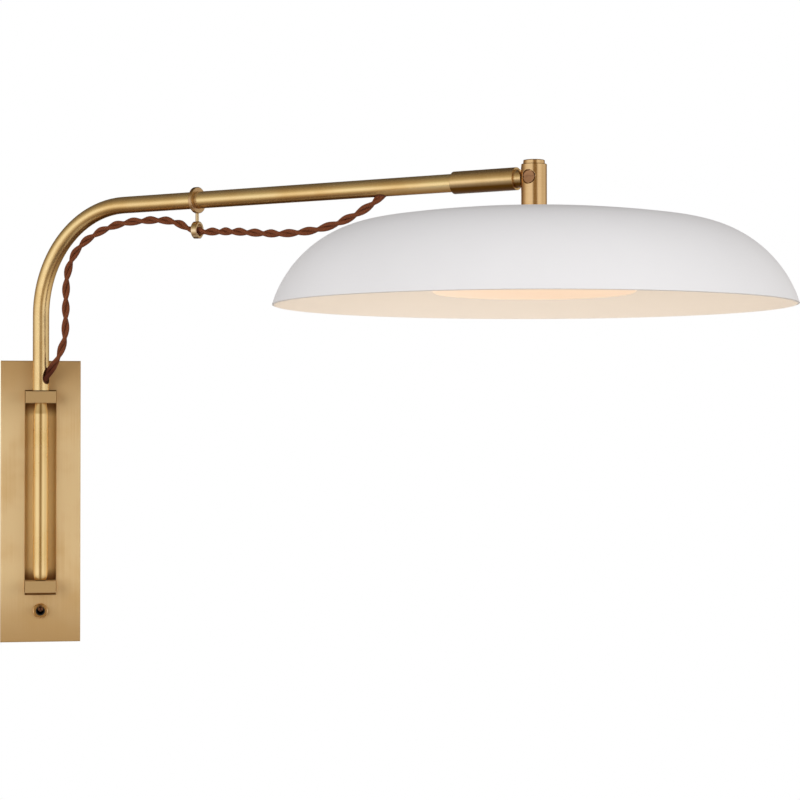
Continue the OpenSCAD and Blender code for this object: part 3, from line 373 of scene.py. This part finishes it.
def painted_pocket_shade(m, colour, middle, start, stop, front, shade):
    """The colour, with painted shade towards both ends of a pocket whose middle is at a height, behind a
    front.
    """
    place = m.parts(m.object_coords())
    off = m.math("ABSOLUTE", m.math("SUBTRACT", place[Z], middle))
    end = m.between(off, start, stop, "SMOOTHSTEP")
    inside = m.math("LESS_THAN", m.math("ABSOLUTE", place[Y]), front)
    return m.mix(m.math("MULTIPLY", end, inside), colour, shade)


def corner_grime_and_shade(m, colour, dark, reach, shut, clear):
    """The colour, with grime and painted shade where other faces are near."""
    openness = m.add("ShaderNodeAmbientOcclusion", {"Distance": reach}, samples=OPENNESS_SAMPLES)
    grime_and_shade_tone = tuple(a * b for a, b in zip(dark, GRIME_AND_SHADE))
    return m.mix(m.between(openness.outputs["AO"], shut, clear), grime_and_shade_tone, colour)


def brass(name, light, dark, grain, turn=0.0, roughness=(0.26, 0.34), edge=0.35 * MM,
          corner=CORNERS, shade_along=None, under=None, pocket=None, metallic=1.0):
    """Hand-rubbed brass: a cloudy patina, fine rubbed lines, and grime and painted shade in the corners.

    Painted shade also comes from three optional settings: along an axis, on faces that lean down, and at
    both ends of a pocket; each holds what its helper takes."""
    m = Nodes(name)
    clouds = m.noise(m.object_coords(turn=turn), scale=26.0)
    lines = m.noise(m.object_coords(grain, turn), scale=1.0, detail=2.0)
    tone = m.math("ADD", m.math("MULTIPLY", clouds, 1 - LINE_SHARE), m.math("MULTIPLY", lines, LINE_SHARE))
    colour = m.ramp(tone, [(0.34, dark), (0.52, light), (0.75, scaled(light, 1.05))])
    if shade_along:
        colour = painted_shade_along(m, colour, **shade_along)
    if under:
        colour = painted_underside_shade(m, colour, **under)
    if pocket:
        colour = painted_pocket_shade(m, colour, **pocket)
    # Corners are darkened with grime and painted shade.
    m.set(Base_Color=corner_grime_and_shade(m, colour, dark, **corner), Metallic=metallic,
          Roughness=m.span(tone, *roughness),
          Normal=m.bump(lines, distance=0.01 * MM, strength=0.25, normal=m.soft_edges(edge)))
    return m.material


# The plate is painted darker towards its top and bottom: a painted shade.
plate_brass = brass("plate_brass", srgb(254, 222, 168), srgb(242, 204, 144), GRAIN_UP, roughness=SATIN,
                    edge=0.3 * MM, corner=SMALL_CORNERS, metallic=0.42,
                    shade_along=dict(axis=Z, start=50 * MM, stop=116 * MM, shaded_tone=srgb(208, 168, 112)))
# The yoke is painted a darker tone on the lug fronts than on the pocket floor, and darker again at the
# pocket's ends by the lugs: both painted shade. Its corner grime and painted shade reach into the whole
# pocket.
yoke_brass = brass("yoke_brass", srgb(254, 220, 156), srgb(246, 208, 142), GRAIN_UP, roughness=SATIN,
                   edge=0.3 * MM, corner=dict(reach=16 * MM, shut=0.10, clear=0.31), metallic=0.55,
                   shade_along=dict(axis=Y, start=11.6 * MM, stop=13 * MM, shaded_tone=srgb(218, 182, 128)),
                   pocket=dict(middle=7.2 * MM, start=58 * MM, stop=68 * MM, front=12 * MM,
                               shade=srgb(150, 106, 56)))
rod_brass = brass("rod_brass", srgb(253, 222, 164), srgb(242, 208, 146), GRAIN_UP, roughness=(0.24, 0.32))
# The tube is painted darker on the faces that lean down: a painted shade.
tube_brass = brass("tube_brass", srgb(255, 224, 166), srgb(244, 206, 142), GRAIN_ARM, turn=SWING,
                   roughness=(0.22, 0.29), metallic=0.86,
                   under=dict(start=0.3, stop=0.9, underside_tone=srgb(186, 134, 62)))
# The sleeve is painted much darker on the faces that lean down: a painted shade.
sleeve_brass = brass("sleeve_brass", srgb(255, 222, 168), srgb(240, 204, 144), GRAIN_ROUND_ARM, turn=SWING,
                     roughness=(0.22, 0.30), metallic=0.92,
                     under=dict(start=0.05, stop=0.6, underside_tone=srgb(116, 74, 12)))
collar_brass = brass("collar_brass", srgb(224, 190, 148), srgb(196, 156, 116), GRAIN_ROUND_ARM, turn=SWING,
                     roughness=(0.30, 0.38))
eye_brass = brass("eye_brass", srgb(250, 226, 188), srgb(234, 204, 160), GRAIN_EVEN)
knuckle_brass = brass("knuckle_brass", srgb(248, 211, 162), srgb(238, 198, 146), GRAIN_ROUND_Z,
                      roughness=(0.16, 0.24), corner=SMALL_CORNERS)
screw_bronze = brass("screw_bronze", srgb(186, 142, 108), srgb(150, 108, 78), GRAIN_EVEN, edge=0.15 * MM)
turned_brass = brass("turned_brass", srgb(228, 190, 128), srgb(200, 158, 98), GRAIN_ROUND_Z)
lever_bronze = brass("lever_bronze", srgb(112, 76, 62), srgb(78, 48, 38), GRAIN_EVEN,
                     roughness=(0.14, 0.2), corner=dict(reach=3 * MM, shut=0.1, clear=0.6))


def plain_metal(name, colour, roughness):
    """Plated steel or aluminium with a fine drawn grain and uneven sheen."""
    m = Nodes(name)
    lines = m.noise(m.object_coords(GRAIN_SHEET), scale=1.0)
    clouds = m.noise(m.object_coords(), scale=60.0, detail=4.0)
    m.set(Base_Color=m.ramp(clouds, [(0.3, scaled(colour, 0.86)), (0.7, colour)]), Metallic=1.0,
          Roughness=m.span(lines, roughness - 0.06, roughness + 0.08),
          Normal=m.bump(lines, distance=0.02 * MM, strength=0.4, normal=m.soft_edges(0.2 * MM)))
    return m.material


zinc = plain_metal("zinc_steel_skin", srgb(196, 198, 202), roughness=0.36)
aluminium = plain_metal("sheet_aluminium_skin", srgb(214, 215, 217), roughness=0.32)


def moulded(name, colour, roughness=0.5, grain=900.0, depth=0.02 * MM, metallic=0.0, mottle=0.93):
    """Moulded or painted surfaces with a fine texture and a slight change of tone."""
    m = Nodes(name)
    fine = m.noise(m.object_coords(), scale=grain, detail=2.0)
    broad = m.noise(m.object_coords(), scale=25.0)
    m.set(Base_Color=m.ramp(broad, [(0.3, scaled(colour, mottle)), (0.7, colour)]), Metallic=metallic,
          Roughness=m.span(fine, roughness - 0.05, roughness + 0.07),
          Normal=m.bump(fine, depth, strength=0.5, normal=m.soft_edges(0.2 * MM)))
    return m.material


ROUGH = dict(grain=1600.0, depth=0.05 * MM)
enamel = moulded("white_enamel_skin", srgb(246, 244, 245), 0.55, grain=700.0, depth=0.006 * MM,
                 mottle=0.985)
ivory = moulded("block_ivory_skin", srgb(226, 219, 200), 0.45)
black = moulded("switch_black_skin", srgb(26, 26, 27), 0.4)
fibre = moulded("fibre_black_skin", srgb(34, 30, 28), 0.8, **ROUGH)
ferrule_brown = moulded("ferrule_brown_skin", srgb(92, 48, 26), 0.75, **ROUGH)
green_screw = moulded("ground_green_skin", srgb(40, 110, 62), 0.35, metallic=0.5)
lead_black = moulded("lead_black_skin", srgb(20, 20, 21))
lead_green = moulded("lead_green_skin", srgb(34, 112, 50))
driver_white = moulded("driver_white_skin", srgb(222, 224, 226), 0.45)
board_white = moulded("board_white_skin", srgb(238, 238, 232), 0.4)
emitter = moulded("emitter_yellow_skin", srgb(240, 208, 96), 0.3)


def opal_glow():
    """Lit opal plastic with a warm, even glow."""
    m = Nodes("opal_glow")
    cloud = m.noise(m.object_coords(), scale=30.0, detail=2.0)
    m.set(Base_Color=m.ramp(cloud, [(0.3, srgb(236, 222, 208)), (0.7, srgb(240, 228, 214))]), Roughness=0.4,
          Emission_Color=m.ramp(cloud, [(0.2, srgb(255, 214, 175)), (0.8, srgb(255, 217, 180))]),
          Emission_Strength=0.67)
    return m.material


# The braid: how fast its yarns cross along a core, per millimetre, and how many go round it; and
# the distances from the wall plate's end, in millimetres, between which its painted shade clears
YARN_PACE = 5.2
YARNS = 6
SHADED_END, CLEAR_FROM = 9, 21


def braid():
    """Rust brown cotton braid: crossing yarns on each core, from the piece's own lay, with painted shade
    near the wall plate's end.
    """
    m = Nodes("cord_cloth_skin")
    along, round_core, _ = m.parts(m.add("ShaderNodeUVMap", uv_map="lay").outputs[0])
    waves = []
    for hand in (1, -1):
        turn = m.math("MULTIPLY", round_core, 2 * math.pi * YARNS * hand)
        waves.append(m.math("SINE", m.math("ADD", m.math("MULTIPLY", along, YARN_PACE), turn)))
    weave = m.math("MAXIMUM", *waves)
    fuzz = m.noise(m.object_coords(), scale=2600.0)
    tone = m.math("ADD", m.math("MULTIPLY", weave, 0.28), m.math("MULTIPLY", fuzz, 0.8))
    yarn = m.ramp(tone, [(0.24, srgb(48, 18, 6)), (0.52, srgb(124, 62, 32)), (0.88, srgb(178, 104, 62))])
    height = m.math("ADD", weave, m.math("MULTIPLY", fuzz, 0.6))
    # The cord is painted darker near the wall plate's end, where it goes into the post: a painted shade.
    m.set(Base_Color=m.mix(m.between(along, SHADED_END, CLEAR_FROM), srgb(84, 34, 15), yarn),
          Roughness=0.85, Sheen_Weight=0.15, Sheen_Roughness=0.5, Sheen_Tint=(*srgb(214, 136, 84), 1),
          Normal=m.bump(height, distance=0.12 * MM, strength=0.8))
    return m.material


skins = {
    plate_brass: ["back_plate", "plate_screws"],
    yoke_brass: ["yoke"],
    rod_brass: ["pivot_rod"],
    tube_brass: ["arm_tube"],
    sleeve_brass: ["end_sleeve", "swivel_neck"],
    collar_brass: ["cord_collar"],
    eye_brass: ["cord_eye"],
    knuckle_brass: ["knuckle", "knuckle_cap", "switch_nut"],
    screw_bronze: ["pivot_screw", "pivot_nut"],
    turned_brass: ["upper_bush", "lower_bush", "switch_terminals", "arm_stud",
                   "lower_pin", "hanger_nipple"],
    lever_bronze: ["switch_lever"],
    zinc: ["yoke_nuts", "mounting_strap", "terminal_screws", "collar_set_screw", "sleeve_set_screws",
           "shade_washer", "nipple_nuts", "driver_screws", "board_screws", "ring_screws"],
    aluminium: ["heat_spreader"],
    enamel: ["shade", "light_pan", "diffuser_ring"],
    ivory: ["terminal_block"],
    black: ["switch_body"],
    fibre: ["thrust_washer", "tilt_washers"],
    ferrule_brown: ["lower_ferrule", "upper_ferrule"],
    green_screw: ["ground_screw"],
    lead_black: ["switch_leads"],
    lead_green: ["ground_lead"],
    driver_white: ["driver"],
    board_white: ["led_board"],
    emitter: ["led_chips"],
    opal_glow(): ["diffuser"],
    braid(): ["cord"],
}
for material, names in skins.items():
    for name in names:
        mesh = nodes[name].data
        mesh.materials.clear()
        mesh.materials.append(material)
cord_piece.data.materials.append(nodes["cord"].data.materials[0])


# The studio: even light from low to high, and what metal reflects, by height and by turn round the light
DIFFUSE_LEVELS = [(0.0, 0.37), (0.40, 0.41), (0.52, 0.54), (0.70, 0.48), (1.0, 0.40)]
BOX_HEIGHT = [(0.0, (0.12, 0.07, 0.03)), (0.13, (0.27, 0.19, 0.11)), (0.20, (0.40, 0.31, 0.20)),
              (0.28, (0.62, 0.55, 0.44)), (0.36, (0.95, 0.93, 0.9)), (0.40, WHITE), (0.50, WHITE),
              (0.57, (0.74, 0.70, 0.60)), (0.66, (0.46, 0.40, 0.27)), (0.82, (0.26, 0.20, 0.10)),
              (0.95, (0.17, 0.13, 0.06)), (1.0, (0.15, 0.11, 0.05))]
BOX_ROUND = [(0.0, (0.14, 0.10, 0.08)), (0.088, (0.17, 0.12, 0.09)), (0.14, (0.30, 0.23, 0.16)),
             (0.20, (0.52, 0.44, 0.34)), (0.26, (0.9, 0.86, 0.8)), (0.33, WHITE), (0.42, WHITE),
             (0.455, (0.30, 0.21, 0.10)), (0.53, (0.30, 0.21, 0.10)), (0.56, (0.94, 0.93, 0.9)),
             (0.61, WHITE), (0.70, (0.72, 0.68, 0.60)), (0.755, (0.82, 0.8, 0.76)),
             (0.805, (0.62, 0.56, 0.48)), (0.87, (0.30, 0.23, 0.15)), (1.0, (0.14, 0.10, 0.08))]
# The y of a direction from where it counts as behind the light
BEHIND = 0.97


def sky():
    """White for the camera, even light for plain surfaces, and two wide soft boxes for metal to reflect."""
    world = bpy.data.worlds.new("studio")
    bpy.context.scene.world = world
    world.use_nodes = True
    g = Graph(world.node_tree)
    out = g.add("ShaderNodeOutputWorld")
    x, y, z = g.parts(g.add("ShaderNodeTexCoord").outputs["Generated"])
    height = g.math("MULTIPLY_ADD", z, 0.5, 0.5)
    around = g.between(g.math("ARCTAN2", x, g.math("MULTIPLY", y, -1.0)), -math.pi, math.pi)
    plain = g.ramp(height, [(at, (v, v, v)) for at, v in DIFFUSE_LEVELS])
    boxes = g.mix(1.0, g.ramp(height, BOX_HEIGHT), g.ramp(around, BOX_ROUND), blend="MULTIPLY")
    path = g.add("ShaderNodeLightPath").outputs
    shiny = g.math("MAXIMUM", path["Is Glossy Ray"], path["Is Transmission Ray"])
    seen = g.mix(shiny, plain, boxes)
    shiny_behind = g.math("MULTIPLY", shiny, g.math("GREATER_THAN", y, BEHIND))
    white = g.math("MAXIMUM", path["Is Camera Ray"], shiny_behind)
    sky_light = g.add("ShaderNodeBackground", {"Color": g.mix(white, seen, WHITE), "Strength": 1.0})
    g.link(sky_light.outputs[0], out.inputs["Surface"])


# The lamps: where both soft boxes aim, where each stands and how wide and high both are, in metres
AIM = (0.25, -0.15, 0.15)
LEFT_PLACE = (-1.5, -1.9, 0.5)
RIGHT_PLACE = (2.0, -1.9, 0.5)
BOX_SIZE = (1.2, 1.8)
# The light inside the shade: its width, and in millimetres how far under the arm's axis it lies
GLOW_D = 320 * MM
GLOW_UNDER = 150
GLOW_COLOUR = (1.0, 0.73, 0.39)


def area_lamp(name, shape, power):
    """An area lamp that neither the camera nor a reflection shows; power in watts."""
    data = bpy.data.lights.new(name, "AREA")
    data.shape = shape
    data.energy = power
    obj = in_scene(name, data)
    obj.visible_camera = obj.visible_glossy = False
    return obj


def soft_box(name, place, power):
    """A wide lamp that faces the wall light."""
    obj = area_lamp(name, "RECTANGLE", power)
    obj.data.size, obj.data.size_y = BOX_SIZE
    obj.location = place
    obj.rotation_euler = (Vector(AIM) - Vector(place)).to_track_quat("-Z", "Y").to_euler()


def shade_glow():
    """The light that the diffuser throws on the inside of the shade, which rides with the head."""
    obj = area_lamp("shade_glow", "DISK", power=0.22)
    obj.data.size = GLOW_D
    obj.data.color = GLOW_COLOUR
    obj.location = on_arm(ARM_REACH, 0, -GLOW_UNDER)
    obj.rotation_euler = (math.pi, 0, 0)
    lit = bpy.data.collections.new("shade_glow_lit")
    lit.objects.link(nodes["shade"])
    obj.light_linking.receiver_collection = lit
    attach(obj, "head")


# The floor: half its width and its height, in metres
FLOOR_HALF = 1.2
FLOOR_Z = -2.4


def floor():
    """A plain pale floor well below the light, white for the camera."""
    corners = [(x * FLOOR_HALF, y * FLOOR_HALF, FLOOR_Z) for x, y in ((-1, -1), (1, -1), (1, 1), (-1, 1))]
    obj = mesh_object("floor", corners, [(0, 1, 2, 3)])
    m = Nodes("floor_paper")
    tone = m.noise(m.object_coords(), scale=3.0, detail=2.0)
    m.set(Base_Color=m.ramp(tone, [(0.3, (0.78, 0.78, 0.78)), (0.7, (0.80, 0.80, 0.80))]), Roughness=0.9)
    white = m.add("ShaderNodeEmission", {"Color": (*WHITE, 1), "Strength": 1.0})
    camera_ray = m.add("ShaderNodeLightPath").outputs["Is Camera Ray"]
    mix = m.add("ShaderNodeMixShader", {0: camera_ray, 1: m.shader.outputs[0], 2: white.outputs[0]})
    m.link(mix.outputs[0], m.out.inputs["Surface"])
    obj.data.materials.append(m.material)


sky()
floor()
shade_glow()
soft_box("left_box", LEFT_PLACE, power=24)
soft_box("right_box", RIGHT_PLACE, power=22)

bpy.context.scene.view_settings.view_transform = "Standard"
